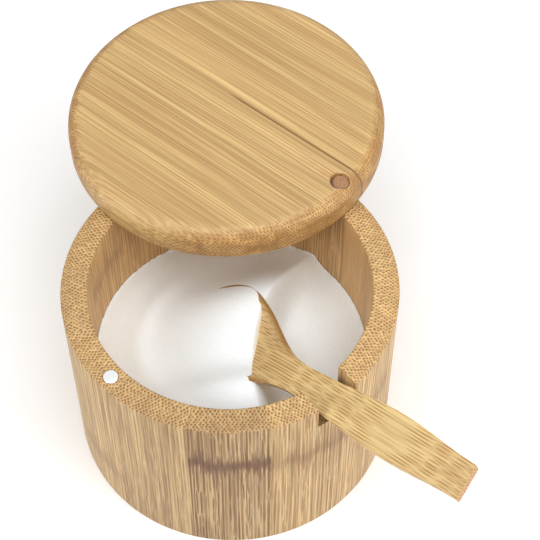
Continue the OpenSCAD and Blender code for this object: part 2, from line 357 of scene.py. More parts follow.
class Graph:
    """Adds nodes to a node tree. A number, a colour or another node's socket may feed an input."""

    def __init__(self, tree):
        self.tree = tree

    def add(self, kind, feeds=None, **settings):
        """A new node with its settings, and its inputs fed by name or by number."""
        node = self.tree.nodes.new(kind)
        for name, value in settings.items():
            setattr(node, name, value)
        for key, value in (feeds or {}).items():
            if isinstance(value, bpy.types.NodeSocket):
                self.tree.links.new(value, node.inputs[key])
            else:
                node.inputs[key].default_value = value
        return node

    def group(self, name, feeds):
        """A node that places a node group in this tree."""
        return self.add("ShaderNodeGroup", feeds, node_tree=bpy.data.node_groups[name])

    def link(self, source, target):
        """Feeds one socket from another."""
        self.tree.links.new(source, target)

    def math(self, operation, *values):
        """One value worked out from the others."""
        return self.add("ShaderNodeMath", dict(enumerate(values)), operation=operation).outputs[0]

    def times(self, first, *others):
        """The product of two or more values."""
        for other in others:
            first = self.math("MULTIPLY", first, other)
        return first

    def plus(self, first, second):
        """The sum of two values."""
        return self.math("ADD", first, second)

    def minus(self, first, second):
        """The first value less the second."""
        return self.math("SUBTRACT", first, second)

    def over(self, first, second):
        """The first value divided by the second."""
        return self.math("DIVIDE", first, second)

    def most(self, first, second):
        """The larger one of two values."""
        return self.math("MAXIMUM", first, second)

    def absolute(self, value):
        """The value without its sign."""
        return self.math("ABSOLUTE", value)

    def vector(self, operation, *values):
        """One vector worked out from the others."""
        return self.add("ShaderNodeVectorMath", dict(enumerate(values)), operation=operation).outputs[0]

    def scaled(self, vector, factors):
        """A vector, each part of it times its factor."""
        return self.vector("MULTIPLY", vector, factors)

    def moved(self, vector, shift):
        """A vector and a shift added together."""
        return self.vector("ADD", vector, shift)

    def dot(self, first, second):
        """The dot product of two vectors."""
        node = self.add("ShaderNodeVectorMath", {0: first, 1: second}, operation="DOT_PRODUCT")
        return node.outputs["Value"]

    def size(self, value):
        """The length of a vector."""
        return self.add("ShaderNodeVectorMath", {0: value}, operation="LENGTH").outputs["Value"]

    def split(self, value):
        """The three parts of a vector."""
        return self.add("ShaderNodeSeparateXYZ", {0: value}).outputs[:]

    def join(self, x=0.0, y=0.0, z=0.0):
        """A vector from its three parts."""
        return self.add("ShaderNodeCombineXYZ", {0: x, 1: y, 2: z}).outputs[0]

    def fade(self, value, low, high, at_low=0.0, at_high=1.0):
        """Goes smoothly from at_low to at_high while value goes from low to high."""
        feeds = {0: value, 1: low, 2: high, 3: at_low, 4: at_high}
        return self.add("ShaderNodeMapRange", feeds, interpolation_type="SMOOTHSTEP").outputs[0]

    def blend(self, share, under, over, mode="MIX"):
        """Lays one colour over another."""
        node = self.add("ShaderNodeMix", {0: share, 6: under, 7: over}, data_type="RGBA", blend_type=mode)
        return node.outputs[2]

    def noise(self, place, detail, roughness=0.5):
        """Smooth noise from 0 to 1 with features about one unit wide."""
        feeds = {"Vector": place, "Scale": 1.0, "Detail": detail, "Roughness": roughness}
        return self.add("ShaderNodeTexNoise", feeds).outputs["Fac"]

    def chance(self, seed):
        """A random number from 0 to 1 that belongs to the seed."""
        return self.add("ShaderNodeTexWhiteNoise", {"W": seed}, noise_dimensions="1D").outputs["Value"]


def new_group(name, inputs, outputs):
    """A new node group: its graph, its inputs by name and its output node. An input is given by its
    default, whose length tells a number, a vector and a colour apart, and is a vector without one."""
    tree = bpy.data.node_groups.new(name, "ShaderNodeTree")
    for label, default in inputs.items():
        parts = 3 if default is None else np.size(default)
        kind = {1: "NodeSocketFloat", 3: "NodeSocketVector", 4: "NodeSocketColor"}[parts]
        socket = tree.interface.new_socket(label, in_out="INPUT", socket_type=kind)
        if default is not None:
            socket.default_value = default
    for label, kind in outputs.items():
        tree.interface.new_socket(label, in_out="OUTPUT", socket_type="NodeSocket" + kind)
    graph = Graph(tree)
    return graph, graph.add("NodeGroupInput").outputs, graph.add("NodeGroupOutput").inputs


def staves_group():
    """Where a point lies in its stave, for a ring of staves glued edge to edge round Z.
    The stave is the whole part of the point's angle over the stave's angle. Within it, x runs across,
    y outwards from the middle of the wall and z up, all in millimetres."""
    graph, given, put = new_group(
        "Stave layout",
        {"Vector": None, "Count": 13.0, "Turn": 0.0, "Wall Radius": 41.5},
        {"Vector": "Vector", "Cell": "Float", "Seam": "Float"},
    )
    x, y, z = graph.split(given["Vector"])
    turn = graph.minus(graph.math("ARCTAN2", y, x), given["Turn"])
    place = graph.times(turn, graph.over(given["Count"], 2 * math.pi))
    stave = graph.math("FLOORED_MODULO", graph.math("FLOOR", place), given["Count"])
    inside = graph.minus(graph.math("FRACT", place), 0.5)
    off = graph.times(inside, graph.over(2 * math.pi, given["Count"]))
    radius = graph.size(graph.join(x, y))
    across = graph.times(radius, graph.math("SINE", off))
    outward = graph.minus(graph.times(radius, graph.math("COSINE", off)), given["Wall Radius"])
    graph.link(graph.join(across, outward, z), put["Vector"])
    graph.link(stave, put["Cell"])
    graph.link(graph.fade(graph.absolute(inside), 0.49, 0.5, 0.0, 0.18), put["Seam"])


def strips_group():
    """Where a point lies in its strip, for flat strips glued side by side along x.
    The strip is the whole part of x over the width. Within it, x runs across from the middle, in
    millimetres. All seams are faint but one, which is clear from a given z on."""
    graph, given, put = new_group(
        "Strip layout",
        {
            "Vector": None, "Width": 14.4, "Shift": 0.0, "Seam Width": 0.3,
            "Faint": 0.2, "Clear Seam": 1.0, "Clear From": 0.0,
        },
        {"Vector": "Vector", "Cell": "Float", "Seam": "Float"},
    )
    x, y, z = graph.split(given["Vector"])
    place = graph.over(graph.plus(x, given["Shift"]), given["Width"])
    inside = graph.minus(graph.math("FRACT", place), 0.5)
    edge = graph.times(graph.minus(0.5, graph.absolute(inside)), given["Width"])
    line = graph.fade(edge, given["Seam Width"], 0.0)
    clear = graph.math("COMPARE", graph.math("ROUND", place), given["Clear Seam"], 0.5)
    begun = graph.fade(graph.minus(z, given["Clear From"]), -4.0, 4.0)
    strength = graph.most(given["Faint"], graph.times(clear, begun))
    graph.link(graph.join(graph.times(inside, given["Width"]), y, z), put["Vector"])
    graph.link(graph.math("FLOOR", place), put["Cell"])
    graph.link(graph.times(line, strength), put["Seam"])


def fibre_dots(graph, place, pitch, width, long):
    """Elongated dots at the points of a staggered lattice over x and y, each with its own strength.
    The lattice is a square one whose rows are shifted by half a step each, which a skew does."""
    x, y, _ = graph.split(place)
    step_x, step_y, _ = graph.split(pitch)
    row = graph.over(y, step_y)
    column = graph.math("MULTIPLY_ADD", row, 0.5, graph.over(x, step_x))
    lattice = graph.join(column, row)
    feeds = {"Vector": lattice, "Scale": 1.0, "Randomness": 0.32}
    cells = graph.add("ShaderNodeTexVoronoi", feeds, voronoi_dimensions="2D")
    off_x, off_y, _ = graph.split(graph.vector("SUBTRACT", lattice, cells.outputs["Position"]))
    off_x = graph.times(graph.math("MULTIPLY_ADD", off_y, -0.5, off_x), step_x)
    off_y = graph.times(off_y, step_y)
    reach = graph.size(graph.join(graph.over(off_x, width), graph.over(off_y, long)))
    own = graph.split(cells.outputs["Color"])[0]
    return graph.times(graph.fade(reach, 1.4, 0.6), graph.fade(own, 0.0, 0.7, 0.65, 1.0))


# Bamboo, in millimetres: how far inside the middle of the wall the fibres begin to crowd, and how much;
# how far a node's line wanders; and how far from that line its streaks and its specks reach
CROWD_FROM, CROWDING = 3.5, 0.05
NODE_WAVE, STREAK_REACH, SPECK_REACH = 9.0, 10.0, 3.2
PALE_WOOD, DARK_WOOD = (0.7, 0.5, 0.25, 1.0), (0.2, 0.1, 0.05, 1.0)


def bamboo_group():
    """Bamboo cut from one strip, with places in millimetres. Fibres stand in a staggered lattice over x
    and y and run along z, pushed to and fro by slow noise, so that they show as dots on end grain and
    as dashes along the grain. Thin noise drawn out along z gives the streaks between them. A node is
    a wavy line of dark specks across the grain with dark streaks above and below it."""
    graph, given, put = new_group(
        "Bamboo",
        {
            "Vector": None, "Cell": 0.0, "Seam": 0.0, "End Grain": 0.0,
            "Pitch": (1.04, 0.98, 1.0), "Dot Width": 0.3, "Dot Length": 0.5, "Dense Side": 0.0,
            "Bend": 1.5, "Waver": 2.4, "Dash": 0.4, "Dash Length": 14.0,
            "Streak": 0.6, "Streak Length": 30.0, "Broad": 0.35, "Blotch": 0.0,
            "Tone": 1.0, "Node Height": 0.0, "Node Strength": 0.0, "Pale": PALE_WOOD, "End": PALE_WOOD,
            "Fibre Colour": DARK_WOOD, "Seam Colour": DARK_WOOD, "Node Colour": DARK_WOOD,
        },
        {"Color": "Color", "Height": "Float", "Roughness": "Float"},
    )
    seeds = [graph.times(graph.chance(graph.plus(given["Cell"], k)), 90.0) for k in (0.1, 0.4, 0.7)]
    place = graph.moved(given["Vector"], graph.join(*seeds))
    along = graph.minus(1.0, given["End Grain"])

    # Fibres pushed slowly across, and faster in and out of the cut face, which breaks them into dashes
    z = graph.split(place)[2]
    slow = graph.noise(graph.scaled(place, (0.05, 0.05, 0.016)), 1.0)
    aside = graph.times(graph.minus(slow, 0.5), given["Bend"])
    straight = graph.moved(place, graph.join(aside))
    dashes = graph.join(0.0, 0.0, graph.over(z, given["Dash Length"]))
    in_out = graph.noise(graph.moved(graph.scaled(place, (0.7, 0.1, 0.0)), dashes), 1.0)
    waver = graph.times(given["Waver"], graph.math("MULTIPLY_ADD", along, 0.8, 0.2))
    bent = graph.moved(straight, graph.join(0.0, graph.times(graph.minus(in_out, 0.5), waver)))

    # Fibres crowd together towards the outside of the cup, with the square of the distance
    outward = graph.most(graph.plus(graph.split(given["Vector"])[1], CROWD_FROM), 0.0)
    crowd = graph.times(outward, outward, CROWDING, given["Dense Side"])
    crowded = graph.moved(bent, graph.join(0.0, crowd))
    dot = fibre_dots(graph, crowded, given["Pitch"], given["Dot Width"], given["Dot Length"])

    drawn_out = graph.join(0.0, 0.0, graph.over(z, given["Streak Length"]))
    drawn_out = graph.moved(graph.scaled(straight, (2.3, 0.7, 0.0)), drawn_out)
    thin = graph.fade(graph.noise(drawn_out, 3.0, 0.65), 0.41, 0.62)
    broad = graph.fade(graph.noise(graph.scaled(straight, (0.3, 0.3, 0.008)), 2.0), 0.36, 0.66)
    patch = graph.fade(graph.noise(graph.scaled(straight, (0.16, 0.3, 0.1)), 3.0), 0.47, 0.62)

    base = graph.blend(given["End Grain"], given["Pale"], given["End"])
    darker = graph.blend(0.66, base, given["Fibre Colour"])
    brown = graph.most(graph.times(crowd, 0.12), graph.times(patch, given["Blotch"]))
    base = graph.blend(graph.times(brown, given["End Grain"]), base, darker)
    base = graph.blend(graph.times(broad, given["Broad"]), base, darker)
    base = graph.blend(graph.times(thin, along, given["Streak"]), base, darker)
    shown = graph.math("MULTIPLY_ADD", given["End Grain"], 0.85, graph.times(along, given["Dash"]))
    base = graph.blend(graph.times(dot, shown), base, given["Fibre Colour"])

    across, _, height = graph.split(given["Vector"])
    wave = graph.noise(graph.join(graph.times(across, 0.22), seeds[0]), 2.0)
    wave = graph.math("MULTIPLY_ADD", wave, NODE_WAVE, -NODE_WAVE / 2)
    off = graph.absolute(graph.plus(graph.minus(height, given["Node Height"]), wave))
    streaky = graph.fade(graph.noise(graph.scaled(straight, (2.6, 0.7, 0.1)), 2.0), 0.35, 0.62, 3.0, 0.7)
    streaks = graph.fade(graph.times(off, streaky), STREAK_REACH, 1.0)
    specks = graph.fade(graph.noise(graph.scaled(place, (1.7, 1.3, 1.7)), 2.0), 0.48, 0.58)
    specks = graph.times(graph.fade(off, SPECK_REACH, 1.2), specks)
    mark = graph.most(graph.times(streaks, 0.85), graph.times(specks, 0.9))
    base = graph.blend(graph.times(mark, given["Node Strength"], along), base, given["Node Colour"])

    base = graph.blend(given["Seam"], base, given["Seam Colour"])
    tone = graph.times(given["Tone"], graph.fade(graph.chance(given["Cell"]), 0.0, 1.0, 0.96, 1.03))
    base = graph.blend(1.0, base, graph.join(tone, tone, tone), "MULTIPLY")

    graph.link(base, put["Color"])
    depth = graph.plus(graph.times(dot, 0.6), graph.times(thin, 0.3))
    graph.link(graph.minus(1.0, graph.plus(depth, given["Seam"])), put["Height"])
    graph.link(graph.fade(dot, 0.0, 1.0, 0.48, 0.66), put["Roughness"])


def material(name):
    """A new material, with its graph and its Principled shader."""
    made = bpy.data.materials.new(name)
    made.use_nodes = True
    graph = Graph(made.node_tree)
    return made, graph, made.node_tree.nodes["Principled BSDF"]


def rgba(value, share=1.0):
    """A colour property, or a darker share of it, as the four numbers that a socket takes."""
    return (*(share * part for part in value), 1.0)


def placed(graph, axes=((1, 0, 0), (0, 1, 0), (0, 0, 1)), centre=(0, 0, 0)):
    """Object coordinates in millimetres from the centre along three unit axes, which are the rows of a
    rotation, and how far the surface faces along the last of them."""
    turn = Matrix(axes)
    shift = -(turn @ Vector(centre)) / MM
    source = graph.add("ShaderNodeTexCoord")
    feeds = {"Vector": source.outputs["Normal"], "Rotation": turn.to_euler()}
    facing = graph.add("ShaderNodeMapping", feeds, vector_type="NORMAL").outputs[0]
    feeds.update({"Vector": source.outputs["Object"], "Location": shift, "Scale": (1 / MM,) * 3})
    place = graph.add("ShaderNodeMapping", feeds).outputs[0]
    return place, graph.absolute(graph.split(facing)[2])


def level_axes(turn):
    """Axes of flat wood whose grain runs level in that direction: across, up and along the grain."""
    return ((-math.sin(turn), math.cos(turn), 0), (0, 0, 1), (math.cos(turn), math.sin(turn), 0))


def bamboo_material(name, layout, layout_feeds, feeds, bump=0.12, more=None, **frame_of_grain):
    """A bamboo finish: the layout says where a point lies in its strip, and the Bamboo group draws the
    strip. more(graph, place, strip) may work out further inputs of the group."""
    made, graph, shader = material(name)
    place, end = placed(graph, **frame_of_grain)
    strip = graph.group(layout, {"Vector": place, **layout_feeds}).outputs
    own = {key: strip[key] for key in ("Vector", "Cell", "Seam")}
    own["End Grain"] = graph.fade(end, 0.15, 0.5)
    own.update(feeds)
    if more:
        own.update(more(graph, place, strip))
    wood = graph.group("Bamboo", own).outputs
    relief = graph.add("ShaderNodeBump", {"Height": wood["Height"], "Strength": bump, "Distance": 0.2 * MM})
    graph.link(wood["Color"], shader.inputs["Base Color"])
    graph.link(wood["Roughness"], shader.inputs["Roughness"])
    graph.link(relief.outputs[0], shader.inputs["Normal"])
    return made


def give(piece, finish, body, slot, *nodes):
    """Gives a finished piece its material, its body and the CAD nodes it stands for. The argument slot is
    not used.
    """
    piece.data.materials.clear()
    piece.data.materials.append(finish)
    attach(piece, body)
    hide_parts(*nodes)


class SALTBOX_OT_groups(Operator):
    """Build the node groups that the wooden pieces share"""

    bl_idname = "saltbox.groups"
    bl_label = "Shared Node Groups"

    def execute(self, context):
        staves_group()
        strips_group()
        bamboo_group()
        return {"FINISHED"}


def bore_radius(cup):
    """Radius of the cup's bore, which is a ledge narrower than the base disc."""
    return span("base_disc")[1][0] / 2 - cup.ledge


def notch_ring(profile, cup, floor, steps=220, notch_steps=14):
    """The cup's profile carried round Z with a notch cut into it.
    Outside the notch a point stands at its radius r and at an angle that starts where r meets the
    notch's wall, asin(half width / r). In the notch it stands at an offset v from the notch's middle,
    and its height is the lower one of its own and the notch's floor."""
    radius, height = profile[:, 0, None], profile[:, 1, None]
    half = cup.notch_width / 2
    wall = np.arcsin(half / radius)
    outside = wall + (2 * np.pi - 2 * wall) * np.linspace(0, 1, steps)
    inside = np.arcsin(np.linspace(-half, half, notch_steps) / radius)
    turn = cup.notch_turn + np.concatenate([inside, outside], axis=1)
    full = np.broadcast_to(height, outside.shape)
    low = np.minimum(np.broadcast_to(height, inside.shape), floor)
    return np.stack(
        [radius * np.cos(turn), radius * np.sin(turn), np.concatenate([low, full], axis=1)], axis=-1
    )


class SALTBOX_OT_cup(Operator):
    """Build the cup with its notch, and the disc that closes it"""

    bl_idname = "saltbox.cup"
    bl_label = "Cup"

    def execute(self, context):
        cup = context.scene.salt_box_cup
        _, size, _ = span("body")
        _, disc_size, _ = span("base_disc")
        outer, height = size[0] / 2, size[2]
        disc_radius, disc_height = disc_size[0] / 2, disc_size[2]
        bore = bore_radius(cup)
        seat, ledge_height = disc_radius + FIT, disc_height + FIT
        floor = height - cup.notch_depth
        soft = cup.edge_round
        profile = rows(
            (bore, ledge_height),
            (bore, floor * 0.5),
            (bore, floor),
            arc((bore + soft, height - soft), soft, 180, 90),
            (bore + 1.5 * soft, height),
            (outer - 1.5 * soft, height),
            arc((outer - soft, height - soft), soft, 90, 0),
            (outer, floor),
            (outer, floor * 0.5),
            arc((outer - soft, soft), soft, 0, -90),
            (seat, 0),
            (seat, ledge_height),
        )
        piece = make_piece("cup", notch_ring(profile, cup, floor), along=True)
        middle, magnet_size, low = span("rim_magnet")
        reach = magnet_size[0] / 2 + FIT
        pocket = rows(
            (0, low[2] - FIT),
            (reach, low[2] - FIT),
            flared(reach, height, cup.pocket_bevel, cup.pocket_bevel_depth),
        )
        cut(piece, make_piece("pocket", turned(pocket, middle[:2], 48)))
        count = len(cup.tones)

        def more(graph, place, strip):
            """What differs from stave to stave, the browner wood in the bore and the painted shade in the
            notch.
            """
            ramp = graph.add("ShaderNodeValToRGB", {0: graph.over(graph.plus(strip["Cell"], 0.5), count)})
            band = ramp.color_ramp
            band.interpolation = "CONSTANT"
            table = zip(cup.tones, cup.node_heights, cup.node_strengths, cup.dashes)
            for stave, (tone, high, strong, dash) in enumerate(table):
                stop = band.elements[0] if stave == 0 else band.elements.new(stave / count)
                stop.color = (tone / 2, high / 100, strong, dash)
            band.elements.remove(band.elements[-1])
            tone, high, strong = graph.split(ramp.outputs["Color"])
            x, y, z = graph.split(place)
            radius = graph.size(graph.join(x, y))
            # Painted shade: within the notch the stave's tone darkens with depth, to half at the notch's
            # floor
            ahead = (math.cos(cup.notch_turn), math.sin(cup.notch_turn), 0)
            aside = (-ahead[1], ahead[0], 0)
            off = graph.absolute(graph.dot(place, aside))
            half = cup.notch_width / 2 / MM
            in_notch = graph.times(
                graph.fade(off, half + 0.12, half + 0.04),
                graph.math("GREATER_THAN", graph.dot(place, ahead), 0),
                graph.fade(radius, outer / MM - 0.1, outer / MM - 0.3),
                graph.fade(radius, bore / MM + 0.1, bore / MM + 0.3),
            )
            notch_shade = graph.fade(z, (height - cup.edge_round) / MM, floor / MM, 1.0, 0.5)
            tone = graph.times(tone, graph.math("POWER", notch_shade, in_notch))
            within = graph.fade(radius, bore / MM + 0.45, bore / MM + 0.05)
            return {
                "Tone": graph.times(tone, 2.0),
                "Node Height": graph.times(high, 100.0),
                "Node Strength": strong,
                "Dash": ramp.outputs["Alpha"],
                "Pale": graph.blend(within, rgba(cup.side), rgba(cup.inside)),
                "Streak": graph.math("MULTIPLY_ADD", within, -0.55, 1.0),
            }

        finish = bamboo_material(
            "bamboo_cup",
            "Stave layout",
            {"Count": float(count), "Turn": cup.stave_turn, "Wall Radius": (outer + bore) / 2 / MM},
            {
                "End": rgba(cup.end), "Fibre Colour": rgba(cup.fibre), "Seam Colour": rgba(cup.fibre),
                "Node Colour": rgba(cup.node_mark), "Dense Side": 1.0,
            },
            more=more,
        )
        give(piece, finish, "cup", "bamboo_cup", "body")

        soft = cup.disc_round
        profile = rows(
            (0, 0),
            (disc_radius - soft, 0),
            arc((disc_radius - soft, soft), soft, -90, 0, 4),
            (disc_radius, disc_height),
            (0, disc_height),
        )
        disc = make_piece("cup_floor", turned(profile))
        finish = bamboo_material(
            "bamboo_base",
            "Strip layout",
            {"Width": 18.0},
            {"Pale": rgba(cup.side), "End": rgba(cup.side), "Fibre Colour": rgba(cup.fibre)},
            axes=level_axes(0.0),
        )
        give(disc, finish, "cup", "bamboo_base", "base_disc")
        return {"FINISHED"}


class SALTBOX_OT_lid(Operator):
    """Build the lid with its sunk hole and its magnet pocket"""

    bl_idname = "saltbox.lid"
    bl_label = "Lid"

    def execute(self, context):
        lid = context.scene.salt_box_lid
        middle, size, low = span("lid")
        radius, bottom, top = size[0] / 2, low[2], low[2] + size[2]
        soft, bevel = lid.top_round, lid.bevel
        profile = rows(
            (0, bottom),
            (radius - bevel - MM, bottom),
            (radius - bevel, bottom),
            (radius, bottom + bevel),
            arc((radius - soft, top - soft), soft, 0, 90, 14),
            (radius - soft - MM, top),
            (0, top),
        )
        piece = make_piece("lid_disc", turned(profile, middle[:2], 192))
        hole_middle, plug_size, _ = span("pivot_plug")
        hole = plug_size[0] / 2 + FIT
        sunk = rows(
            (0, bottom - MM),
            (lid.shank_hole, bottom - MM),
            (lid.shank_hole, bottom + lid.web),
            (hole, bottom + lid.web),
            flared(hole, top, lid.hole_bevel, lid.hole_bevel_depth),
        )
        magnet_middle, magnet_size, magnet_low = span("lid_magnet")
        reach = magnet_size[0] / 2 + FIT
        pocket_top = magnet_low[2] + magnet_size[2] + FIT
        pocket = rows((0, bottom - MM), (reach, bottom - MM), (reach, pocket_top), (0, pocket_top))
        cut(
            piece,
            make_piece("sunk_hole", turned(sunk, hole_middle[:2], 64)),
            make_piece("pocket", turned(pocket, magnet_middle[:2], 48)),
        )
        finish = bamboo_material(
            "bamboo_lid",
            "Strip layout",
            {
                "Width": lid.strip_width / MM, "Shift": lid.strip_shift / MM, "Seam Width": 0.7,
                "Faint": 0.3, "Clear Seam": 0.0, "Clear From": -2.0,
            },
            {
                "Pale": rgba(lid.face), "End": rgba(lid.end), "Fibre Colour": rgba(lid.fibre),
                "Seam Colour": rgba(lid.seam), "Node Colour": rgba(lid.seam),
                "Pitch": (0.78, 0.7, 1.0), "Dot Width": 0.22, "Dot Length": 0.28,
                "Blotch": 0.75, "Bend": 0.4, "Broad": 0.55,
                "Dash": 0.35, "Dash Length": 45.0, "Streak": 0.75, "Streak Length": 90.0,
            },
            axes=level_axes(lid.grain_turn),
            centre=middle,
        )
        give(piece, finish, "lid", "bamboo_lid", "lid")
        return {"FINISHED"}


# The plug's top rises by this much in this direction. The painted shade on its near side lies outside a
# circle, whose middle and whose inner and outer reach are given in millimetres from the plug's middle
PLUG_RISE, PLUG_RISES_TO = 0.8 * MM, (0.45, 0.89)
SHADE_MIDDLE, SHADE_REACH = (0.5, 0.65), (2.0, 2.5)


class SALTBOX_OT_pivot(Operator):
    """Build the wooden plug over the pivot screw's head, and give the screw its finish"""

    bl_idname = "saltbox.pivot"
    bl_label = "Pivot"

    def execute(self, context):
        metal = context.scene.salt_box_metal
        middle, size, low = span("pivot_plug")
        radius, bottom, top = size[0] / 2, low[2], low[2] + size[2]
        soft = 0.1 * MM
        profile = rows((0, bottom), (radius, bottom), (radius, top - soft), (radius - soft, top), (0, top))
        points = turned(profile, middle[:2], 48)
        # Its top rises from the near side, where it is sunk, to the far side
        upper = points[2:]
        rise = (upper[..., :2] - middle[:2]) @ PLUG_RISES_TO
        upper[..., 2] += PLUG_RISE * ease(0, 1, np.clip(share_of(rise, -radius, radius), 0, 1))
        plug = make_piece("plug", points)

        def more(graph, place, strip):
            """Painted shade on the near side: what lies outside a circle that is shifted to the far side.
            """
            x, y, _ = graph.split(place)
            off = graph.size(graph.join(graph.minus(x, SHADE_MIDDLE[0]), graph.minus(y, SHADE_MIDDLE[1])))
            gap = graph.fade(off, *SHADE_REACH, 0.0, 0.9)
            # Painted shade, carried by the group's Seam input
            return {"Vector": place, "Seam": gap, "Seam Colour": rgba(metal.gap)}

        finish = bamboo_material(
            "plug_wood",
            "Strip layout",
            {"Width": 40.0, "Shift": 7.0},
            {
                "Pale": rgba(metal.plug), "End": rgba(metal.plug), "Fibre Colour": rgba(metal.plug, 0.45),
                "Pitch": (0.7, 0.7, 1.0), "Dot Width": 0.15, "Dot Length": 0.2,
            },
            more=more,
            centre=middle,
        )
        give(plug, finish, "lid", "plug_wood", "pivot_plug")

        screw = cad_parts["pivot_screw"]
        made, graph, shader = material("screw_steel")
        shader.inputs["Metallic"].default_value = 1.0
        place, _ = placed(graph)
        brushed = graph.noise(graph.scaled(place, (2.0, 2.0, 9.0)), 3.0)
        tone = graph.blend(brushed, rgba(metal.screw), rgba(metal.screw, 0.8))
        graph.link(tone, shader.inputs["Base Color"])
        graph.link(graph.fade(brushed, 0.3, 0.7, 0.28, 0.42), shader.inputs["Roughness"])
        screw.data.materials.clear()
        screw.data.materials.append(made)
        return {"FINISHED"}


class SALTBOX_OT_magnets(Operator):
    """Build the magnet in the rim and its partner in the lid"""

    bl_idname = "saltbox.magnets"
    bl_label = "Magnets"

    def execute(self, context):
        metal = context.scene.salt_box_metal
        made, graph, shader = material("magnet_nickel")
        place, _ = placed(graph)
        haze = graph.noise(graph.scaled(place, (1.5, 1.5, 1.5)), 4.0)
        tone = graph.blend(haze, rgba(metal.magnet), rgba(metal.magnet, 0.94))
        graph.link(tone, shader.inputs["Base Color"])
        graph.link(graph.fade(haze, 0.3, 0.7, 0.16, 0.3), shader.inputs["Roughness"])
        shader.inputs["Metallic"].default_value = 1.0
        soft = 0.2 * MM
        magnets = ("rim_disc", "rim_magnet", "cup"), ("lid_disc_magnet", "lid_magnet", "lid")
        for name, node, body in magnets:
            middle, size, low = span(node)
            radius, bottom, top = size[0] / 2, low[2], low[2] + size[2]
            profile = rows(
                (0, bottom),
                arc((radius - soft, bottom + soft), soft, -90, 0, 4),
                arc((radius - soft, top - soft), soft, 0, 90, 4),
                (0, top),
            )
            piece = make_piece(name, turned(profile, middle[:2], 48))
            give(piece, made, body, "magnet_nickel", node)
        return {"FINISHED"}


def share_of(value, start, end):
    """Where value lies between start, which counts as 0, and end, which counts as 1."""
    return (value - start) / (end - start)


def half_width(along, scoop):
    """Half width of the scoop at a distance along it: eased from the handle's end to its belly, on to
    the neck and out to the bowl, and a quarter of an ellipse round the tip."""
    tip_share = np.clip((-scoop.bowl_place - along) / scoop.tip, 0, 1)
    return np.select(
        [along > scoop.belly_place, along > -scoop.neck_place, along > -scoop.bowl_place],
        [
            ease(scoop.belly, scoop.handle_end, share_of(along, scoop.belly_place, scoop.handle_length)),
            ease(scoop.neck, scoop.belly, share_of(along, -scoop.neck_place, scoop.belly_place)),
            ease(scoop.neck, scoop.bowl, share_of(along, -scoop.neck_place, -scoop.bowl_place)),
        ],
        scoop.bowl * np.sqrt(1 - tip_share**2),
    )


def middle_line(along, scoop):
    """How far the scoop's middle lies aside at a distance along it: eased from the belly, where it has
    a little of the bend, to the bowl, and most of the way back towards the tip."""
    inward = np.clip(share_of(along, scoop.belly_place, -scoop.bend_place), 0, 1)
    back = np.clip(share_of(along, -scoop.bend_place, -scoop.bend_end), 0, 1)
    return scoop.bend * (ease(-0.3, -1.1, inward) + ease(0, 0.85, back))


def bowl_share(along, scoop):
    """Share of the bowl's depth that the scoop has at a distance along it."""
    inside = np.clip(share_of(half_width(along, scoop), scoop.neck, scoop.bowl), 0, 1)
    return np.where(along > -scoop.neck_place, 0, inside)


def scoop_top(along, side, scoop):
    """Height of the scoop's upper face at the share side of its half width: a hollow inside the lip."""
    width = half_width(along, scoop)
    inner = np.minimum(1, np.abs(side) * width / np.maximum(width - scoop.lip, 1e-6))
    return -scoop.hollow * bowl_share(along, scoop) * (1 - inner**2) ** 0.75


def scoop_under(along, side, scoop):
    """Height of the scoop's lower face: flat in the middle and drawn up to the edge, which is thinner in
    the bowl, and more squarely towards the handle's end, where the handle is thinner."""
    outer = np.clip(share_of(along, scoop.belly_place, scoop.handle_length), 0, 1)
    handle = ease(scoop.handle_thickness, scoop.end_thickness, outer)
    full = handle + (scoop.bowl_depth - handle) * bowl_share(along, scoop)
    edge = scoop.edge * (1 - 0.7 * bowl_share(along, scoop))
    power = ease(3, 30, np.clip(share_of(along, scoop.square_from, scoop.square_to), 0, 1))
    return -edge - (full - edge) * np.sqrt(1 - np.abs(side) ** power)


def spun(first, second, turn):
    """Two coordinates turned from the first axis towards the second."""
    return (
        first * np.cos(turn) - second * np.sin(turn),
        first * np.sin(turn) + second * np.cos(turn),
    )


def lay_in_notch(points, scoop, cup):
    """Rolls, slopes and turns points drawn along the scoop and sets them down where the handle crosses
    the bore."""
    x, y, z = np.moveaxis(points, -1, 0)
    y, z = spun(y, z, scoop.roll)
    x, z = spun(x, z, scoop.slope)
    x, y = spun(x, y, scoop.turn)
    bore = bore_radius(cup)
    start = np.array([bore * np.cos(cup.notch_turn), bore * np.sin(cup.notch_turn), scoop.crossing])
    return np.stack([x, y, z], axis=-1) + start


def scoop_grid(scoop):
    """Rings round the scoop: its upper face from left to right, then its lower face back. Each end
    closes on the middle of its ring. Past the belly, the rings slant more and more, with the square of
    the distance."""
    straight = np.linspace(scoop.handle_length, -scoop.bowl_place, 90)
    bend = -scoop.bowl_place - scoop.tip * np.sin(np.radians(np.linspace(0, 80, 22)[1:]))
    along = np.concatenate([straight, bend])[:, None]
    side = -np.cos(np.linspace(0, np.pi, 36))[None, :]
    aside = side * half_width(along, scoop) + middle_line(along, scoop)
    outer = np.clip(share_of(along, scoop.belly_place, scoop.handle_length), 0, 1)
    place = along - math.tan(scoop.end_slant) * aside * outer**2
    upper = np.stack(np.broadcast_arrays(place, aside, scoop_top(along, side, scoop)), axis=-1)
    lower = np.stack(np.broadcast_arrays(place, aside, scoop_under(along, side, scoop)), axis=-1)
    ring = np.concatenate([upper, lower[:, ::-1]], axis=1)
    middles = ring[[0, -1]].mean(axis=1, keepdims=True) + np.zeros_like(ring[[0, -1]])
    return np.concatenate([middles[:1], ring, middles[1:]])


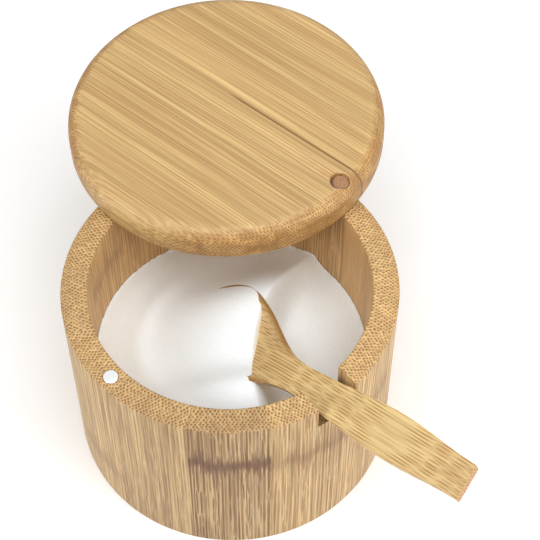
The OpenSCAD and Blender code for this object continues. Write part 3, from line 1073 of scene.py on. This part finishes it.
def mark_lip_shade(mesh, axes, origin, scoop):
    """Stores how far each point of the scoop belongs to the lip of its bowl, as the attribute lip, which
    masks the painted
    shade along the lip: it rises over the lip's width up to the outline, and is full where the bowl has a
    quarter of its depth."""
    place = np.empty(len(mesh.vertices) * 3)
    mesh.vertices.foreach_get("co", place)
    across, _, along = axes @ (place.reshape(-1, 3) - origin).T
    inward = half_width(along, scoop) - np.abs(across - middle_line(along, scoop))
    lip = np.clip(1.2 - inward / scoop.lip, 0, 1) * np.clip(bowl_share(along, scoop) * 4, 0, 1)
    mesh.attributes.new("lip", "FLOAT", "POINT").data.foreach_set("value", lip)


class SALTBOX_OT_scoop(Operator):
    """Build the scoop"""

    bl_idname = "saltbox.scoop"
    bl_label = "Scoop"

    def execute(self, context):
        scoop, cup = context.scene.salt_box_scoop, context.scene.salt_box_cup
        grid = lay_in_notch(scoop_grid(scoop), scoop, cup)
        sharp = math.radians(50)
        piece = make_piece("scoop_wood", grid, smooth_angle=sharp)
        soften = piece.modifiers.new("soft edges", "BEVEL")
        soften.width = scoop.edge_round
        soften.segments = 3
        soften.limit_method = "ANGLE"
        soften.angle_limit = sharp
        origin, along, side, up = lay_in_notch(np.vstack([np.zeros(3), np.eye(3)]), scoop, cup)
        axes = np.array([side, up, along]) - origin
        mark_lip_shade(piece.data, axes, origin, scoop)
        slant = math.tan(scoop.fibre_slant)
        level_part = 14.0  # Half length in millimetres over which the fibres lie about level

        def more(graph, place, strip):
            """Fibres that lie along the face in the middle of the handle and slant out of it before and
            behind, along a hyperbola, the painted shade along the lip, and a darker neck and end."""
            across, through, run = graph.split(strip["Vector"])
            off = graph.over(graph.minus(run, scoop.belly_place / MM), level_part)
            rise = graph.minus(graph.math("SQRT", graph.math("MULTIPLY_ADD", off, off, 1.0)), 1.0)
            through = graph.math("MULTIPLY_ADD", rise, level_part * slant, through)
            # The lip attribute masks the painted shade along the bowl's lip
            lip = graph.add("ShaderNodeAttribute", attribute_name="lip").outputs["Fac"]
            end, neck = graph.fade(run, 36.0, 52.0, 1.0, 0.9), graph.fade(run, -6.0, 12.0, 0.97, 1.0)
            browner = graph.fade(run, 32.0, 50.0)
            return {
                "Tone": graph.times(end, neck),
                "Vector": graph.join(across, through, run),
                "Pale": graph.blend(lip, rgba(scoop.face), rgba(scoop.shade)),
                "Fibre Colour": graph.blend(browner, rgba(scoop.fibre), rgba(scoop.end_fibre)),
            }

        finish = bamboo_material(
            "bamboo_scoop",
            "Strip layout",
            {"Width": 60.0, "Shift": 30.0, "Seam Width": 0.0},
            {
                "End": rgba(scoop.end), "Pitch": (0.86, 0.7, 1.0), "Dot Width": 0.15, "Dot Length": 0.25,
                "Bend": 0.6, "Waver": 0.7, "Broad": 0.3,
                "Dash": 0.8, "Dash Length": 40.0, "Streak": 0.6, "Streak Length": 60.0,
            },
            more=more,
            axes=axes,
            centre=origin,
        )
        give(piece, finish, "scoop", "bamboo_scoop", "scoop")
        return {"FINISHED"}


def logistic(value, middle, spread):
    """Falls from 1 to 0 as value passes the middle."""
    return 1 / (1 + np.exp((value - middle) / spread))


# The salt's ridge: its middle over the cup's middle, how much that moves right towards the back and how
# far it curves, where its right side is narrowest and over what distance that widens by 1 mm, the middle
# and spread of its drop at the back and at the front, and its rise towards the back
RIDGE_MIDDLE, RIDGE_TURN, RIDGE_CURVE = 6.9 * MM, 0.298, 107 * MM
WIDE_FROM, WIDE_OVER = 12 * MM, 27 * MM
BACK_DROP, FRONT_DROP = (18.15 * MM, 6.2 * MM), (-17.8 * MM, 2.55 * MM)
RIDGE_SLOPE = 0.0166 / MM
# The swell's circle and its width, the middle and spread of its end, and the distance that the lean is over
SWELL_RADIUS, SWELL_WIDTH, SWELL_END = 26 * MM, 2.4 * MM, (-16 * MM, 3 * MM)
LEAN_OVER = 76 * MM
# Grains that cling to the wall: how far from it they reach, and how high
CLING_REACH, CLING_HEIGHT = 0.5 * MM, 0.55 * MM


def salt_height(x, y, salt):
    """Height of the salt over a point: a plane that leans to the left, plus a ridge that leans on the
    scoop, plus a faint swell. The ridge's middle follows a parabola. Across it, the ridge is a bell
    curve with a long reach to the left and a short one to the right, which widens with the square of
    the distance from its narrowest place. From back to front the ridge rises and rises again, each
    time along a logistic curve. The swell is a bell curve round a circle, and covers its left part."""
    line = RIDGE_MIDDLE + RIDGE_TURN * y + y**2 / RIDGE_CURVE
    right = salt.ridge_right + ((y - WIDE_FROM) / WIDE_OVER) ** 2 * MM
    across = np.exp(-((x - line) ** 2) / (2 * np.where(x < line, salt.ridge_left, right) ** 2))
    lengthwise = salt.ridge * logistic(y, *BACK_DROP) + salt.front * logistic(y, *FRONT_DROP)
    ring = np.exp(-((np.hypot(x, y) - SWELL_RADIUS) ** 2) / (2 * SWELL_WIDTH**2))
    plane = salt.level - salt.lean * x / LEAN_OVER
    return plane + lengthwise * across * (1 + RIDGE_SLOPE * y) + salt.swell * ring * logistic(x, *SWELL_END)


class SALTBOX_OT_salt(Operator):
    """Build the salt in the cup"""

    bl_idname = "saltbox.salt"
    bl_label = "Salt"

    def execute(self, context):
        salt = context.scene.salt_box_salt
        _, size, low = span("salt")
        reach = size[0] / 2
        radius = np.concatenate([np.linspace(0, reach, 100), [reach, 0]])[:, None]
        turn = np.linspace(0, 2 * np.pi, 360, endpoint=False)[None, :]
        x, y = radius * np.cos(turn), radius * np.sin(turn)
        height = salt_height(x, y, salt)
        # Grains that cling to the wall make its edge uneven
        cling = np.random.default_rng(11).random(height.shape) * np.exp((radius - reach) / CLING_REACH)
        height += CLING_HEIGHT * cling
        height[-2:] = low[2]
        piece = make_piece("salt_heap", np.stack([x, y, height], axis=-1))
        made, graph, shader = material("salt_white")
        place, _ = placed(graph)
        cells = graph.add("ShaderNodeTexVoronoi", {"Vector": place, "Scale": 2.6, "Randomness": 1.0})
        grain = graph.split(cells.outputs["Color"])[0]
        tone = graph.blend(graph.fade(grain, 0.3, 1.0, 0.0, 0.3), rgba(salt.body), rgba(salt.body, 0.9))
        graph.link(tone, shader.inputs["Base Color"])
        feeds = {"Height": cells.outputs["Distance"], "Strength": 0.35, "Distance": 0.2 * MM}
        relief = graph.add("ShaderNodeBump", feeds)
        graph.link(relief.outputs[0], shader.inputs["Normal"])
        shader.inputs["Roughness"].default_value = 0.55
        give(piece, made, "cup", "salt_white", "salt")
        return {"FINISHED"}


# Each lamp's name, the setting of its power and its share of it, its width and its place; where they
# all look; and the camera's focal length in millimetres
LAMPS = (
    ("key", "key_power", 1.0, 0.85, (0.07, -0.26, 0.92)),
    ("left fill", "fill_power", 1.2, 0.6, (-0.76, -0.42, 0.55)),
    ("right fill", "fill_power", 1.25, 0.6, (0.78, -0.42, 0.5)),
)
LOOK_AT = (0, 0, 0.04)
LENS = 105.53


class SALTBOX_OT_stage(Operator):
    """Build the floor, the light and the camera"""

    bl_idname = "saltbox.stage"
    bl_label = "Stage"

    def execute(self, context):
        stage = context.scene.salt_box_stage
        scene = context.scene
        profile = rows((0, 0), (0.4, 0), (stage.floor_radius, 0))
        floor = make_piece("floor", turned(profile, steps=64))
        made, graph, shader = material("floor_paper")
        seen = graph.add("ShaderNodeLightPath").outputs["Is Camera Ray"]
        paper = graph.blend(seen, rgba(stage.floor), WHITE)
        graph.link(paper, shader.inputs["Base Color"])
        # Far from the object, where the lamps don't reach, the camera sees plain white
        place, _ = placed(graph)
        glow = graph.fade(graph.size(place), 300.0, 1300.0, stage.floor_glow, 1.0)
        graph.link(graph.times(seen, glow), shader.inputs["Emission Strength"])
        shader.inputs["Emission Color"].default_value = WHITE
        shader.inputs["Roughness"].default_value = 0.9
        floor.data.materials.append(made)

        world = bpy.data.worlds.new("studio")
        world.use_nodes = True
        scene.world = world
        background = world.node_tree.nodes["Background"]
        background.inputs["Color"].default_value = WHITE
        # White where the camera, gloss or glass sees it, and the sky's strength as light
        graph = Graph(world.node_tree)
        rays = graph.add("ShaderNodeLightPath").outputs
        seen = graph.most(rays["Is Camera Ray"], rays["Is Glossy Ray"])
        seen = graph.most(seen, rays["Is Transmission Ray"])
        strength = graph.math("MULTIPLY_ADD", seen, 1.0 - stage.sky, stage.sky)
        graph.link(strength, background.inputs["Strength"])

        for name, power, share, wide, place in LAMPS:
            light = bpy.data.lights.new(name, "AREA")
            light.energy = share * getattr(stage, power)
            light.size = wide
            body = bpy.data.objects.new(name, light)
            body.location = place
            body.rotation_euler = (Vector(LOOK_AT) - Vector(place)).to_track_quat("-Z", "Y").to_euler()
            scene.collection.objects.link(body)

        view = bpy.data.cameras.new("camera")
        view.lens = LENS
        view.sensor_width = 36
        view.clip_start = 0.01
        camera = bpy.data.objects.new("camera", view)
        camera.location = (0, -stage.camera_back, stage.camera_height)
        camera.rotation_euler = (math.pi / 2 - stage.camera_pitch, 0, -stage.camera_yaw)
        scene.collection.objects.link(camera)
        scene.camera = camera
        scene.view_settings.view_transform = "Standard"
        return {"FINISHED"}


class SALTBOX_PT_panel(Panel):
    """Sidebar panel that lists the pieces"""

    bl_idname = "SALTBOX_PT_panel"
    bl_label = "Salt Box"
    bl_space_type = "VIEW_3D"
    bl_region_type = "UI"
    bl_category = "Salt Box"

    def draw(self, context):
        column = self.layout.column(align=True)
        for operator in OPERATORS:
            column.operator(operator.bl_idname)
        for key, group in SETTINGS.items():
            box = self.layout.box()
            for name in group.__annotations__:
                box.prop(getattr(context.scene, key), name)


SETTINGS = {
    "salt_box_cup": CupSettings,
    "salt_box_lid": LidSettings,
    "salt_box_scoop": ScoopSettings,
    "salt_box_salt": SaltSettings,
    "salt_box_metal": MetalSettings,
    "salt_box_stage": StageSettings,
}
OPERATORS = (
    SALTBOX_OT_groups,
    SALTBOX_OT_cup,
    SALTBOX_OT_lid,
    SALTBOX_OT_pivot,
    SALTBOX_OT_magnets,
    SALTBOX_OT_scoop,
    SALTBOX_OT_salt,
    SALTBOX_OT_stage,
)


def register():
    """Registers the settings, the operators and the panel."""
    for group in SETTINGS.values():
        bpy.utils.register_class(group)
    for key, group in SETTINGS.items():
        setattr(bpy.types.Scene, key, PointerProperty(type=group))
    for operator in OPERATORS:
        bpy.utils.register_class(operator)
    bpy.utils.register_class(SALTBOX_PT_panel)


def unregister():
    """Takes back what register did."""
    bpy.utils.unregister_class(SALTBOX_PT_panel)
    for operator in reversed(OPERATORS):
        bpy.utils.unregister_class(operator)
    for key, group in SETTINGS.items():
        delattr(bpy.types.Scene, key)
        bpy.utils.unregister_class(group)


def main():
    register()
    bpy.ops.saltbox.groups()
    bpy.ops.saltbox.cup()
    bpy.ops.saltbox.lid()
    bpy.ops.saltbox.pivot()
    bpy.ops.saltbox.magnets()
    bpy.ops.saltbox.scoop()
    bpy.ops.saltbox.salt()
    bpy.ops.saltbox.stage()


if __name__ == "__main__":
    main()
